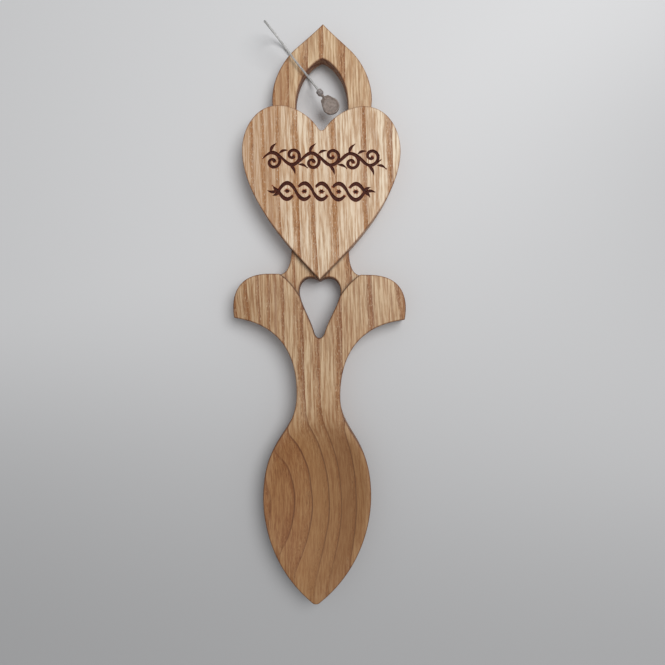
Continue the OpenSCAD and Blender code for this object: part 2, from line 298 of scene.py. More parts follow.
def ash(name, tint=None, burnt=False):
    """Oiled ash, cut from a board whose rings run through all of the spoon's wood."""
    n = Nodes(name)
    x, y, z = n.object_mm()
    up = y - RING_Y
    wander = (n.noise((x * 0.01, y * 0.016, z * 0.02), 1.0) - 0.5) * 3.2
    waver = (n.noise((x * 0.12, y * 0.05, z * 0.12)) - 0.5) * 0.9
    slant = (z - BOARD_T) * RING_SLANT
    across = x + up * RING_LEAN + slant - up * up * RING_BEND + wander + waver
    year, age = ring_clock(n, across)

    # In the bowl the grain is quieter, and its ring lines fade towards the tip and the left side
    in_bowl = y.ramp(-33.0, -58.0) * z.ramp(9.6, 8.6, 0.78, 1.0)
    flat = 1.0 - in_bowl
    quiet = in_bowl.ramp(0.0, 1.0, 1.0, 0.62)
    band, line, going = ring_bands(n, year, age, flat)
    after = age.ramp(0.0, 0.10, 1.0, 0.0)

    # Fibres run along the spoon: fine threads and broader streaks, the same at every depth
    cross = x + z * 0.55 + up * RING_LEAN + waver
    grain = {
        "thread": n.noise((cross * 2.7, y * 0.04, z * 0.5), 3.0, 0.62),
        "hair": n.noise((cross * 7.0, y * 0.11, z * 1.2), 2.0, 0.6),
        "dash": n.noise((cross * 1.7, y * 0.20, z * 0.9), 2.0, 0.6),
        "reed": n.noise((cross * 1.55, y * 0.075, z), 2.0, 0.55),
        "streak": n.noise((across * 0.80, y * 0.010, z * 0.2), 2.0, 0.55),
        "cloud": n.noise((x * 0.05, y * 0.03, z * 0.1))}
    pore = n.noise((x * 5.5, y * 0.42, z * 5.5), 1.0, 0.4).ramp(0.60, 0.68)
    pore = pore * band.ramp(0.05, 0.6, 0.12, 1.0)
    glint = n.noise((x * 4.2, y * 0.8, z * 4.2), 1.0, 0.4).ramp(0.62, 0.70)
    glint = glint * band.ramp(0.0, 0.5, 0.35, 1.0)
    fade = (y + grain["cloud"] * 30.0).ramp(-96.0, -62.0, 0.30, 1.0)
    fade = fade * (1.0 + in_bowl * x.ramp(-16.0, -7.5, -0.72, 0.0))

    colour = n.layers(srgb(*PALE), [
        (band * quiet * 0.94, TAN),
        (line * (0.80 + flat * 0.12) * fade, BROWN),
        (after * quiet * 0.22, (236, 216, 190))])
    colour = n.layers(colour, fibre_layers(grain, band, flat, quiet))
    colour = n.layers(colour, face_layers(across, y), within=flat)
    colour = n.layers(colour, [(pore * 0.60, (112, 68, 34)), (glint * 0.42, (246, 233, 212))])
    in_hollow = bowl_layers(x, year, age, going, grain["dash"], fade)
    colour = n.layers(colour, in_hollow, within=in_bowl)
    if tint:
        colour = n.layers(colour, [(1.0, tint, "MULTIPLY")])

    # Sawn edges are darker than the sanded faces: partly the wood's own tone, partly painted shade,
    # darkest on the walls of the fretted holes. The corners carry painted shade and a dark joint
    # line
    edge = n.attribute("edge")
    patchy = n.noise((x * 0.9, y * 0.9, z * 0.9), 3.0).ramp(0.2, 0.8, 0.75, 1.0)
    colour = n.layers(colour, [
        (edge * patchy * 0.88, (146, 92, 58), "MULTIPLY"),
        (n.attribute("corner") * 0.82, (66, 40, 24))])
    roughness = grain["thread"] * 0.16 + grain["hair"] * 0.08 + edge * 0.14 + pore * 0.10 + 0.38
    uneven = n.noise((x * 1.1, y * 0.9, z * 1.1), 3.0)
    height = grain["thread"] * 0.35 + grain["hair"] * 0.25 + grain["streak"] * 0.2
    height = height - pore * 0.9 + uneven * 0.12
    shine, coat = 0.42, 0.10
    if burnt:
        colour, burn, char = burn_in(n, colour, x, y)
        roughness = roughness + burn * 0.22
        height = height + burn * char * 0.8
        shine, coat = 0.26, 0.05
    n.set(Base_Color=colour, Roughness=roughness, Specular_IOR_Level=shine, Coat_Weight=coat,
        Coat_Roughness=0.38)
    n.bump(height, 0.00012, 0.55)
    return n.material


NYLON_IOR = 1.53


def nylon(name, tone, clear, roughness, mottled=0.0):
    """Moulded or drawn nylon: cloudy, slightly clear, with a soft shine."""
    n = Nodes(name)
    x, y, z = n.object_mm()
    cloud = n.noise((x * 0.9, y * 0.9, z * 0.9), 3.0)
    fine = n.noise((x * 6.0, y * 6.0, z * 6.0))
    middle = srgb(*tone)[:3]
    light = tuple(min(1.0, c * 1.18) for c in middle) + (1.0,)
    dark = tuple(c * (0.80 - 0.2 * mottled) for c in middle) + (1.0,)
    n.set(Base_Color=n.mix(cloud.ramp(0.3, 0.7), dark, light), Roughness=fine * 0.12 + roughness,
        Transmission_Weight=clear, IOR=NYLON_IOR,
        Subsurface_Weight=0.15, Subsurface_Radius=(0.001, 0.001, 0.001))
    n.bump(cloud + fine * 0.4, 0.00005, 0.4)
    return n.material


# Outlines of the spoon in millimetres, as in the part

def curve(a, b, c, d, n=28):
    """Points along a curve with four control points, without its end."""
    t = np.linspace(0, 1, n, endpoint=False)[:, None]
    a, b, c, d = (np.array(p, float) for p in (a, b, c, d))
    u = 1 - t
    return u**3 * a + 3 * u * u * t * b + 3 * u * t * t * c + t**3 * d


def both(*right):
    """A closed outline from the parts of its right side and their mirror image."""
    side = np.vstack([np.array(part, float).reshape(-1, 2) for part in right])
    other = side[::-1][side[::-1][:, 0] > 0] * [-1, 1]
    return np.vstack([side, other])


BOARD_T, RECESS = 9.5, 2.5
Z_RECESS = BOARD_T - RECESS
BOWL_L, BOWL_W, HOLLOW, RIM = 86, 44.4, 4.5, 1.4
STEM_W, LEAF_SPAN, LEAF_H, LEAF_FALL, NECK_W = 18, 70.8, 18.2, 2.4, 24
HEART_W, HEART_L, NOTCH = 65.2, 71.5, 10.1
LOOP_L, LOOP_W, LOOP_HOLE_W, LOOP_TIP, LOOP_RELIEF = 35.1, 41.5, 21.8, 14.5, 2.2
CUTOUT_W, CUTOUT_L = 17.4, 25.4
Y_TIP, Y_WAIST, Y_LEAF, Y_HEART, Y_LOBE, Y_TOP = -120, -34, 15.7, 13.4, 84.9, 120

bowl_r = BOWL_W / 2
y_wide = Y_TIP + 0.51 * BOWL_L
leaf_x = LEAF_SPAN / 2
y_leaf_tip = Y_LEAF - LEAF_H
neck_x = NECK_W / 2
fillet_x = neck_x + 5.1
tip_x, tip_y = 0.058 * bowl_r, Y_TIP + 0.004 * BOWL_L
handle = both(
    curve([0, Y_TIP], [0.4 * tip_x, Y_TIP], [0.72 * tip_x, tip_y - 0.0032 * BOWL_L], [tip_x, tip_y],
        5),
    curve([tip_x, tip_y], [0.946 * bowl_r, Y_TIP + 0.188 * BOWL_L],
        [bowl_r, y_wide - 0.07 * BOWL_L], [bowl_r, y_wide], 44),
    curve([bowl_r, y_wide], [bowl_r, y_wide + 0.3 * BOWL_L], [STEM_W / 2, Y_WAIST - 0.2 * BOWL_L],
        [STEM_W / 2, Y_WAIST], 44),
    curve([STEM_W / 2, Y_WAIST], [STEM_W / 2, y_leaf_tip - 0.06 * LEAF_H],
        [0.938 * leaf_x, y_leaf_tip - 0.055 * LEAF_H], [leaf_x, y_leaf_tip], 50),
    curve([leaf_x, y_leaf_tip], [1.023 * leaf_x, y_leaf_tip + 0.24 * LEAF_H],
        [1.054 * leaf_x, Y_LEAF], [0.575 * leaf_x, Y_LEAF], 32),
    curve([fillet_x, Y_LEAF], [neck_x + 0.3, Y_LEAF], [neck_x, Y_LEAF + 8], [neck_x, Y_LEAF + 9.3],
        16),
    [[neck_x, 49.4]])

heart_x = HEART_W / 2
y_notch = Y_LOBE - NOTCH
y_heart_wide = Y_HEART + 0.744 * HEART_L
lobe_x = 0.537 * heart_x
heart_line = both(
    curve([0, Y_HEART], [0.2 * heart_x, Y_HEART + 0.105 * HEART_L],
        [heart_x, Y_HEART + 0.43 * HEART_L], [heart_x, y_heart_wide], 50),
    curve([heart_x, y_heart_wide], [heart_x, y_heart_wide + 0.115 * HEART_L],
        [0.847 * heart_x, Y_LOBE], [lobe_x, Y_LOBE], 28),
    curve([lobe_x, Y_LOBE], [0.37 * heart_x, Y_LOBE], [0.17 * heart_x, Y_LOBE - 0.33 * NOTCH],
        [0.05 * heart_x, y_notch + 0.12 * NOTCH], 24),
    curve([0.05 * heart_x, y_notch + 0.12 * NOTCH], [0.035 * heart_x, y_notch + 0.03 * NOTCH],
        [0.02 * heart_x, y_notch], [0, y_notch], 6),
    [[0, y_notch]])

loop_x, hole_x = LOOP_W / 2, LOOP_HOLE_W / 2
y_apex = Y_TOP - LOOP_TIP
loop_line = both([[0.98 * loop_x, Y_LOBE - NOTCH / 3]],
    curve([loop_x, Y_LOBE + 0.1 * LOOP_L], [loop_x, Y_LOBE + 0.34 * LOOP_L],
        [0.8 * loop_x, Y_LOBE + 0.55 * LOOP_L], [0.58 * loop_x, Y_TOP - 0.318 * LOOP_L], 24),
    curve([0.58 * loop_x, Y_TOP - 0.318 * LOOP_L], [0.43 * loop_x, Y_TOP - 0.235 * LOOP_L],
        [0.17 * loop_x, Y_TOP - 0.105 * LOOP_L], [0, Y_TOP], 18),
    [[0, Y_TOP]])
hole_line = both(
    curve([0, y_apex], [0.13 * hole_x, y_apex], [hole_x, y_apex - 0.25 * (y_apex - Y_LOBE)],
        [hole_x, Y_LOBE]),
    [[hole_x, Y_LOBE], [hole_x, y_notch]])

cut_x = CUTOUT_W / 2
y_cut_top = Y_HEART + 1.4
y_cut_low = y_cut_top - CUTOUT_L
cutout_line = both(
    curve([0, Y_HEART], [0.12 * cut_x, Y_HEART + 0.9], [0.28 * cut_x, y_cut_top],
        [0.5 * cut_x, y_cut_top], 8),
    curve([0.5 * cut_x, y_cut_top], [0.78 * cut_x, y_cut_top], [cut_x, y_cut_top - 0.11 * CUTOUT_L],
        [cut_x, y_cut_top - 0.22 * CUTOUT_L], 12),
    curve([cut_x, y_cut_top - 0.22 * CUTOUT_L], [cut_x, y_cut_top - 0.4 * CUTOUT_L],
        [0.42 * cut_x, y_cut_low + 0.3 * CUTOUT_L], [0.27 * cut_x, y_cut_low + 0.1 * CUTOUT_L], 24),
    curve([0.27 * cut_x, y_cut_low + 0.1 * CUTOUT_L], [0.21 * cut_x, y_cut_low + 0.03 * CUTOUT_L],
        [0.12 * cut_x, y_cut_low], [0, y_cut_low], 7),
    [[0, y_cut_low]])

arc_top = np.array([fillet_x, Y_LEAF + 0.1])
arc_low = np.array([0.89 * cut_x, y_cut_top - 0.37 * CUTOUT_L])
leaf_arc = curve(arc_top, arc_top + [-2.6, -1.2], arc_low + [1.9, 3.9], arc_low, 30)
leaf_arc = np.vstack([leaf_arc, [arc_low]])
leaf_arc = np.vstack([[arc_top + [1.5, 0.5]], leaf_arc, [arc_low + (arc_low - leaf_arc[-2]) * 3]])


# Plane geometry

BATCH = 3000
MITRE_LIMIT = 0.35
SAME_POINT = 1e-5


def inside(points, loop):
    """Which points lie inside a closed loop."""
    a, b = loop, np.roll(loop, -1, axis=0)
    hit = np.zeros(len(points), bool)
    for p, q in zip(a, b):
        if p[1] != q[1]:
            level = (p[1] > points[:, 1]) != (q[1] > points[:, 1])
            edge_x = (q[0] - p[0]) * (points[:, 1] - p[1]) / (q[1] - p[1]) + p[0]
            hit ^= level & (points[:, 0] < edge_x)
    return hit


def distance(points, starts, ends):
    """Each point's distance to the nearest of some straight pieces."""
    best = np.full(len(points), 1e9)
    along = ends - starts
    size = np.maximum((along**2).sum(1), 1e-12)
    for i in range(0, len(points), BATCH):
        rel = points[i:i + BATCH, None] - starts[None]
        t = np.clip((rel * along).sum(2) / size, 0, 1)
        best[i:i + BATCH] = np.sqrt(((rel - t[..., None] * along) ** 2).sum(2).min(1))
    return best


def to_line(points, line, closed=False):
    """Each point's distance to a line."""
    ends = np.roll(line, -1, axis=0) if closed else line[1:]
    return distance(points, line if closed else line[:-1], ends)


def shifted(line, by, closed=True):
    """A line moved sideways to its left, with mitred corners."""
    step = np.roll(line, -1, axis=0) - line
    if not closed:
        step[-1] = step[-2]
    step /= np.linalg.norm(step, axis=1)[:, None]
    before = np.roll(step, 1, axis=0)
    if not closed:
        before[0] = step[0]
    left = np.stack([-step[:, 1], step[:, 0]], 1)
    left_before = np.stack([-before[:, 1], before[:, 0]], 1)
    middle = left + left_before
    middle /= np.linalg.norm(middle, axis=1)[:, None]
    return line + middle * (by / np.maximum((middle * left).sum(1), MITRE_LIMIT))[:, None]


def even(line, step, closed=True):
    """A line with a point at least every step, which keeps its own points."""
    points = []
    ends = np.roll(line, -1, axis=0) if closed else line[1:]
    for a, b in zip(line, ends):
        n = max(1, int(math.ceil(np.linalg.norm(b - a) / step)))
        points += [a + (b - a) * i / n for i in range(n)]
    if not closed:
        points.append(line[-1])
    return np.array(points)


def triangles_of(points, edges):
    """Flat triangles over all the points, with every edge kept."""
    points = [Vector(p) for p in points]
    verts, _, faces, *_ = delaunay_2d_cdt(points, edges, [], 0, SAME_POINT)
    faces = [face for face in faces if len(face) == 3]
    return np.array([tuple(v) for v in verts], float), np.array(faces, int)


def chain(edges):
    """Directed edges joined into closed loops of vertex numbers."""
    following = dict(edges)
    loops = []
    while following:
        first, at = following.popitem()
        loop = [first]
        while at != first:
            loop.append(at)
            at = following.pop(at)
        loops.append(loop)
    return loops


def rim_edges(faces):
    """The edges that only one face has, each in its face's own direction."""
    edges = np.vstack([faces[:, [0, 1]], faces[:, [1, 2]], faces[:, [2, 0]]])
    known = set(map(tuple, edges))
    return [(a, b) for a, b in map(tuple, edges) if (b, a) not in known]


def line_edges(first, count, closed=True):
    """Pairs of neighbours on a line whose points are numbered from the first on."""
    return [(first + i, first + (i + 1) % count) for i in range(count if closed else count - 1)]


def union_loops(outlines, is_wood):
    """The loops round the wood, from outlines that cross each other."""
    points, edges = [], []
    for line in outlines:
        edges += line_edges(len(points), len(line))
        points.extend(line)
    verts, faces = triangles_of(points, edges)
    faces = faces[is_wood(verts[faces].mean(1))]
    return [verts[loop] for loop in chain(rim_edges(faces))]


def solid(name, verts, faces, sharp):
    """An object from points in metres, smooth but for edges sharper than some degrees."""
    data = bpy.data.meshes.new(name)
    data.from_pydata(verts, [], faces)
    data.shade_smooth()
    data.set_sharp_from_angle(angle=math.radians(sharp))
    return add_object(name, data)


# Rows of points beside every outline, by their distance from it in millimetres, and how far
# the points between them are moved at random, as a share of the grid
RIM_ROWS = (0.05, 0.14, 0.27, 0.44, 0.62, 0.95)
RIM_STEP = 0.8
JITTER = 0.12
# How dark the sawn walls, the fretted holes and the edges of the back are: their own darker wood
# and painted shade, darkest in the holes
WALL_MARK, FRETTED_MARK, BACK_MARK = 0.55, 1.0, 0.8
BACK_MARK_WIDTH = 0.45
WOOD_SHARP, ROUND_SHARP, WEB_SHARP = 38, 42, 60


def flat_mesh(loops, is_wood, lines, grid, extra):
    """A flat mesh of the wood, with rows of points along its outlines and other lines.

    It comes back as the points, their distance to the outline and the triangles.
    """
    outlines = [even(loop, RIM_STEP) for loop in loops]
    rows = []
    for loop in outlines:
        rows += [(loop, True)] + [(shifted(loop, by), True) for by in RIM_ROWS]
    points, edges = [], []
    for line, closed in rows + lines:
        edges += line_edges(len(points), len(line), closed)
        points.extend(line)

    # The wood between the rows is filled with slightly uneven triangles
    starts = np.vstack(outlines)
    ends = np.vstack([np.roll(loop, -1, axis=0) for loop in outlines])
    low, high = starts.min(0), starts.max(0)
    xs = np.arange(low[0], high[0], grid)
    ys = np.arange(low[1], high[1], grid * 0.866)
    fill = np.array([(x + (grid / 2 if j % 2 else 0), y) for j, y in enumerate(ys) for x in xs])
    fill = fill + rng.uniform(-JITTER, JITTER, fill.shape) * grid
    fill = fill[is_wood(fill)]
    fill = fill[distance(fill, starts, ends) > RIM_ROWS[-1] + 0.35 * grid]
    for line, closed in lines:
        fill = fill[to_line(fill, line, closed) > 0.3]
    for patch in (fill, *extra):
        points.extend(patch)

    flat, faces = triangles_of(points, edges)
    faces = faces[is_wood(flat[faces].mean(1))]
    used, faces = np.unique(faces, return_inverse=True)
    flat, faces = flat[used], faces.reshape(-1, 3)
    return flat, distance(flat, starts, ends), faces


def relief_plate(name, loops, is_wood, lines, grid, top, bottom, extra=(), rows=5):
    """A closed wooden piece over a flat outline, with its height given by top and bottom.

    The marks that come with the top tell the wood's material where edges, corners and burns are.
    """
    flat, gap, faces = flat_mesh(loops, is_wood, lines, grid, extra)
    z_top, marks = top(flat, gap)
    z_low = bottom(flat, gap)
    count = len(flat)
    verts = [np.column_stack([flat, z_top]), np.column_stack([flat, z_low])]
    polygons = [tuple(f) for f in faces] + [tuple(f[::-1] + count) for f in faces]

    # Walls between the rims of the top and the bottom
    rim = rim_edges(faces)
    share = np.arange(1, rows) / rows
    wall = {}
    total = 2 * count
    for i in sorted({i for pair in rim for i in pair}):
        wall[i] = [i, *range(total, total + rows - 1), i + count]
        heights = z_top[i] + (z_low[i] - z_top[i]) * share
        verts.append(np.column_stack([np.tile(flat[i], (rows - 1, 1)), heights]))
        total += rows - 1
    for i, j in rim:
        polygons += [(wall[j][k], wall[i][k], wall[i][k + 1], wall[j][k + 1]) for k in range(rows)]
    verts = np.vstack(verts)
    piece = solid(name, (verts * MM).tolist(), polygons, WOOD_SHARP)

    to_hole, to_cutout = (to_line(verts[:, :2], loop, True) for loop in (hole_line, cutout_line))
    fretted = np.minimum(to_hole, to_cutout) < 0.2
    for mark, on_top in marks.items():
        values = np.zeros(len(verts))
        if mark == "edge":
            values = np.where(fretted, FRETTED_MARK, WALL_MARK)
            values[count:2 * count] = BACK_MARK * np.clip(1 - gap / BACK_MARK_WIDTH, 0, 1)
        values[:count] = on_top
        layer = piece.data.attributes.new(mark, "FLOAT", "POINT")
        layer.data.foreach_set("value", values.astype(np.float32))
    return piece


def smooth_step(x, low, high):
    """From 0 to 1 between two bounds, with soft ends."""
    t = np.clip((x - low) / (high - low), 0, 1)
    return t * t * (3 - 2 * t)


def rounded(gap, radius):
    """How far a rounded edge has fallen at a distance from the outline."""
    left = np.clip(1 - gap / radius, 0, 1)
    return radius * (1 - np.sqrt(np.maximum(1 - left * left, 0)))


def soft_min(a, b, width):
    """The lower of two heights, with a soft shoulder between them."""
    t = np.clip(0.5 + 0.5 * (b - a) / width, 0, 1)
    return b * (1 - t) + a * t - width * t * (1 - t)


def ripple(flat, size, amount, seed):
    """Slow unevenness that a hand leaves in carved and sanded wood."""
    waves = np.random.default_rng(seed)
    height = np.zeros(len(flat))
    for _ in range(14):
        turn = waves.uniform(0, 2 * math.pi)
        wave = size * waves.uniform(0.6, 1.8)
        phase = waves.uniform(0, 2 * math.pi)
        along = flat[:, 0] * math.cos(turn) + flat[:, 1] * math.sin(turn)
        height += np.sin(along * 2 * math.pi / wave + phase)
    return height * amount / 5


# The board: bowl, stem, leaves, neck and loop, with the level that the heart stands on

# Radii of the softened edges, widths of the soft shoulders and steps of the meshes in millimetres
FACE_EDGE, ARC_EDGE, RECESS_EDGE, SEAT_EDGE, BACK_EDGE = 0.5, 0.38, 0.45, 0.18, 0.4
HEART_EDGE, HEART_FOOT = 0.42, 0.15
BOWL_SHOULDER, LEAF_SHOULDER, BACK_SHOULDER = 0.55, 0.3, 0.4
BOARD_GRID, HEART_GRID = 1.0, 0.9

hollow_x = bowl_r - RIM
hollow_h = (hollow_x**2 - HOLLOW**2) / (2 * HOLLOW)
y_hollow_low = Y_TIP + 2 * RIM
y_hollow_high = Y_WAIST - 0.055 * BOWL_L
hollow_side = np.vstack([
    curve([0, y_hollow_low], [0.97 * hollow_x, y_hollow_low + 0.197 * BOWL_L],
        [hollow_x, y_wide - 0.07 * BOWL_L], [hollow_x, y_wide], 60),
    curve([hollow_x, y_wide], [hollow_x, y_wide + 0.27 * BOWL_L],
        [0.42 * hollow_x, y_hollow_high - 0.11 * BOWL_L], [0, y_hollow_high], 60),
    [[0, y_hollow_high]]])
back_rise = BOARD_T - 4
back_h = (bowl_r**2 + back_rise**2) / (2 * back_rise)
back_line = np.vstack([
    curve([back_h - 6, Y_TIP - 2], [back_h - 1.1, Y_TIP + 0.2 * BOWL_L],
        [back_h, y_wide - 0.16 * BOWL_L], [back_h, y_wide - 0.04 * BOWL_L], 60),
    curve([back_h, y_wide - 0.04 * BOWL_L], [back_h, y_wide + 0.22 * BOWL_L],
        [back_h + 1.6, Y_WAIST - 0.1 * BOWL_L], [back_h + 1.8, Y_WAIST], 60),
    [[back_h + 1.8, Y_WAIST]]])


def is_board(p):
    """Which points are on the board, inside its outline and outside its two holes."""
    loop = inside(p, loop_line) & ~inside(p, hole_line)
    return (inside(p, handle) | inside(p, heart_line) | loop) & ~inside(p, cutout_line)


# The step down along the leaves is a steep wall, this many millimetres to each side of the arc
STEP = 0.02
ARC_ROWS = (-0.5, -0.2, -STEP, STEP, 0.12, 0.25, 0.42)
SEAT_ROWS = (0.6, 0.3, 0.08, -0.02)
arcs = [leaf_arc, leaf_arc * [-1, 1]]
recess_area = np.vstack([leaf_arc * [-1, 1], leaf_arc[::-1],
    [[60, Y_LEAF + 1], [60, 130], [-60, 130], [-60, Y_LEAF + 1]]])


def above_arc(p):
    """Signed distance to the recess's edge along the leaves, below zero inside the recess."""
    away = np.minimum(to_line(p, arcs[0]), to_line(p, arcs[1]))
    return np.where(inside(p, recess_area), -away, away)


def hollow_height(x, y):
    """Height of the bowl's hollow, which rises above the face outside its rim."""
    half = np.interp(y, hollow_side[:, 1], hollow_side[:, 0], left=0, right=0)
    z = BOARD_T + hollow_h - np.sqrt(np.maximum(hollow_h**2 + half**2 - x**2, 1.0))
    outside = np.abs(x) > half
    z[outside] = BOARD_T + (np.abs(x) - half)[outside] * 0.42
    z[(y < y_hollow_low) | (y > y_hollow_high)] = BOARD_T + 3
    return z


def leaf_height(x, y):
    """Height of the leaves as they fall away towards their tips, and where that holds."""
    lean = math.radians(22)
    start = 0.42 * leaf_x
    fall_r = (leaf_x - start) ** 2 / (2 * LEAF_FALL)
    along = (np.abs(x) - start) * math.cos(lean) - (y - y_leaf_tip) * math.sin(lean)
    z = BOARD_T + 0.1 - fall_r + np.sqrt(np.maximum(fall_r**2 - np.maximum(along, 0) ** 2, 0))
    return z, (y > y_leaf_tip - 30) & (y < Y_LEAF + 1) & (along > 0)


def board_top(flat, gap):
    """Height of the carved face, and its marks: darker softened edges, and corners with painted
    shade and a dark joint line.
    """
    x, y = flat.T
    in_bowl = (y > y_hollow_low - 3) & (y < Y_WAIST + 6)
    z = np.where(in_bowl, soft_min(BOARD_T, hollow_height(x, y), BOWL_SHOULDER), BOARD_T)
    leaf_z, on_leaf = leaf_height(x, y)
    z = np.where(on_leaf, soft_min(z, leaf_z, LEAF_SHOULDER), z)
    z = z + ripple(flat, size=21, amount=0.035, seed=5) * smooth_step(gap, 0.3, 3)

    # Beyond the arcs the wood lies one level lower, and the heart stands on it
    side = above_arc(flat)
    on_face = side > -STEP
    beside_heart = to_line(flat, heart_line, True)
    face = z - np.maximum(rounded(gap, FACE_EDGE), rounded(np.maximum(side - STEP, 0), ARC_EDGE))
    bare = smooth_step(beside_heart, 0.6, 3) * ~inside(flat, heart_line)
    low = Z_RECESS + ripple(flat, size=15, amount=0.03, seed=9) * bare
    low = low - np.where(beside_heart < 0.5, rounded(gap, SEAT_EDGE), rounded(gap, RECESS_EDGE))

    edge = np.clip(1 - gap / 0.62, 0, 1) ** 0.8
    arc_edge = np.where(on_face, np.clip(1 - (side - STEP) / 0.45, 0, 1), 0)
    by_arc = np.clip(1 + (side + STEP) / 0.5, 0, 1) ** 0.7
    by_heart = np.clip(1 - beside_heart / 0.75, 0, 1) ** 0.7
    # Painted shade, with a dark joint line, in the corners at the foot of the step along the leaves
    # and round the heart
    corner = np.where(on_face, 0, np.maximum(by_arc, by_heart)) * (gap > 0.02)
    return np.where(on_face, face, low), {"edge": np.maximum(edge, arc_edge), "corner": corner}


def board_bottom(flat, gap):
    """Height of the back: round under the bowl, relieved under the loop and flat between."""
    x, y = flat.T
    radius = np.interp(y, back_line[:, 1], back_line[:, 0], right=back_h + 3)
    bowl = back_h - np.sqrt(np.maximum(radius**2 - x**2, 1.0))
    bowl = np.maximum(-soft_min(np.zeros(len(flat)), -bowl, BACK_SHOULDER), 0)
    loop = np.clip((y - (Y_LOBE - 1)) / 2, 0, LOOP_RELIEF)
    return np.maximum(np.where(y < Y_WAIST, bowl, 0), loop) + rounded(gap, BACK_EDGE)


board_loops = union_loops([handle, heart_line, loop_line, hole_line, cutout_line], is_board)
rim_line = np.vstack([hollow_side, hollow_side[::-1][1:-1] * [-1, 1]])
seams = [(shifted(even(arc, 0.5, False), turn * by, False), False)
    for arc, turn in zip(arcs, (1, -1)) for by in ARC_ROWS]
seams += [(shifted(even(heart_line, 0.6), -by), True) for by in SEAT_ROWS]
seams.append((even(rim_line, RIM_STEP)[1:-1], False))
board = relief_plate("spoon_board", board_loops, is_board, seams, BOARD_GRID, board_top,
    board_bottom)
# The board is darker and warmer than the heart: partly its own tone, partly painted, standing in
# for the sheen that the heart's face catches
board.data.materials.append(ash("carved_ash", tint=(237, 226, 209)))
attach(board, "spoon")
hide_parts("spoon_body")


# The ornament on the heart: strokes as lines of points with a half width at each

def stroke(points, widths):
    """Points with a half width at each, spread evenly from a few half widths."""
    points = np.array(points, float)
    widths = np.interp(np.linspace(0, 1, len(points)), np.linspace(0, 1, len(widths)), widths)
    return points, widths


def spiral(centre, start, turns, radius, end_radius, hand, width):
    """A tendril that curls in to its centre and swells at its end."""
    t = np.linspace(0, 1, 46)
    angle = math.radians(start) + hand * t * turns * 2 * math.pi
    r = radius + (end_radius - radius) * t**0.8
    line = np.column_stack([centre[0] + r * np.cos(angle), centre[1] + r * np.sin(angle)])
    return stroke(line, [0.12, 0.8 * width, width, width, width, 0.75 * width, 1.25 * width])


def leaf(at, angle, length, width):
    """A small pointed leaf, cut as one swelling stroke."""
    t = np.linspace(0, 1, 14)[:, None]
    way = np.array([math.cos(math.radians(angle)), math.sin(math.radians(angle))])
    side = np.array([-way[1], way[0]])
    line = np.array(at) + t * length * way + np.sin(t * math.pi) * 0.12 * length * side
    return stroke(line, [0.10, 0.7 * width, width, 0.8 * width, 0.5 * width, 0.08])


def vine(y, half_length, waves, height, width):
    """A running vine: a waving stem, a tendril in each wave and leaves at the crests."""
    xs = np.linspace(-half_length, half_length, 40 * waves)
    turn = (xs + half_length) / half_length * waves * math.pi
    strokes = [stroke(np.column_stack([xs, y + height * np.sin(turn)]),
        [0.1] + [width, 0.6 * width, width, 0.6 * width] * waves + [0.1])]
    pitch = half_length / waves
    for i in range(2 * waves):
        up = 1 if i % 2 == 0 else -1
        x = -half_length + (i + 0.5) * pitch
        eye = (x + 0.1, y - up * 0.55 * height)
        crest = (x - 0.12 * pitch, y + up * 1.06 * height)
        slope = (x + 0.34 * pitch, y + up * 0.92 * height)
        strokes.append(spiral(eye, up * 152, 1.28, 0.52 * pitch, 0.09 * pitch, -up, 0.88 * width))
        strokes.append(leaf(crest, up * 58, 0.50 * pitch, 0.95 * width))
        strokes.append(leaf(slope, up * 20, 0.42 * pitch, 0.8 * width))
    return strokes


def plait(y, half_length, crossings, height, width):
    """A two-strand plait that closes in a point at each end, with a dot in every eye."""
    strokes = []
    pitch = 2 * half_length / crossings
    gap = 0.17 * pitch
    for strand in (1, -1):
        for i in range(crossings):
            start = -half_length + i * pitch
            xs = np.linspace(start, start + pitch, 26)
            shape = np.sin((xs - start) / pitch * math.pi) ** 0.85 * height
            side = strand * (1 if i % 2 == 0 else -1)
            line = np.column_stack([xs, y + side * shape])
            keep = np.ones(len(xs), bool)
            if i > 0 and (i % 2 == 0) == (strand == 1):
                keep &= xs > start + gap
            if i < crossings - 1 and (i % 2 == 1) == (strand == 1):
                keep &= xs < start + pitch - gap
            widths = [0.7 * width, width, 1.15 * width, width, 0.7 * width]
            strokes.append(stroke(line[keep], widths))
    for i in range(crossings):
        x = -half_length + (i + 0.5) * pitch
        dot = np.column_stack([np.linspace(x - 0.95, x + 0.95, 9), np.full(9, y)])
        strokes.append(stroke(dot, [0.04, 0.62, 0.04]))
    for end in (-1, 1):
        tip = end * (half_length - 0.2)
        strokes.append(leaf((tip, y), 90 - end * 52, 3.0, width))
        strokes.append(leaf((tip, y), -90 + end * 52, 3.0, width))
        strokes.append(leaf((tip + end * 0.9, y), 90 - end * 90, 3.6, 0.9 * width))
    return strokes


ENGRAVE_DEPTH = 0.42
ENGRAVE_SHIFT = 0.3
STROKE_ROWS = (0.10, -0.02, -0.14)
engraving = vine(y=62.9, half_length=24.2, waves=3, height=2.5, width=0.62)
engraving += plait(y=49.6, half_length=17.6, crossings=5, height=3.3, width=0.66)
engraving = [(points + [ENGRAVE_SHIFT, 0], widths) for points, widths in engraving]


def cut_depth(flat):
    """How deep inside a stroke each point lies, below zero outside all strokes."""
    best = np.full(len(flat), -9.0)
    for points, widths in engraving:
        low, high = points.min(0) - 1.2, points.max(0) + 1.2
        near = np.where(((flat > low) & (flat < high)).all(1))[0]
        if len(near) == 0:
            continue
        starts, along = points[:-1], points[1:] - points[:-1]
        rel = flat[near, None] - starts[None]
        t = np.clip((rel * along).sum(2) / np.maximum((along**2).sum(1), 1e-12), 0, 1)
        away = np.sqrt(((rel - t[..., None] * along) ** 2).sum(2))
        reach = widths[:-1] + (widths[1:] - widths[:-1]) * t - away
        best[near] = np.maximum(best[near], reach.max(1))
    return best


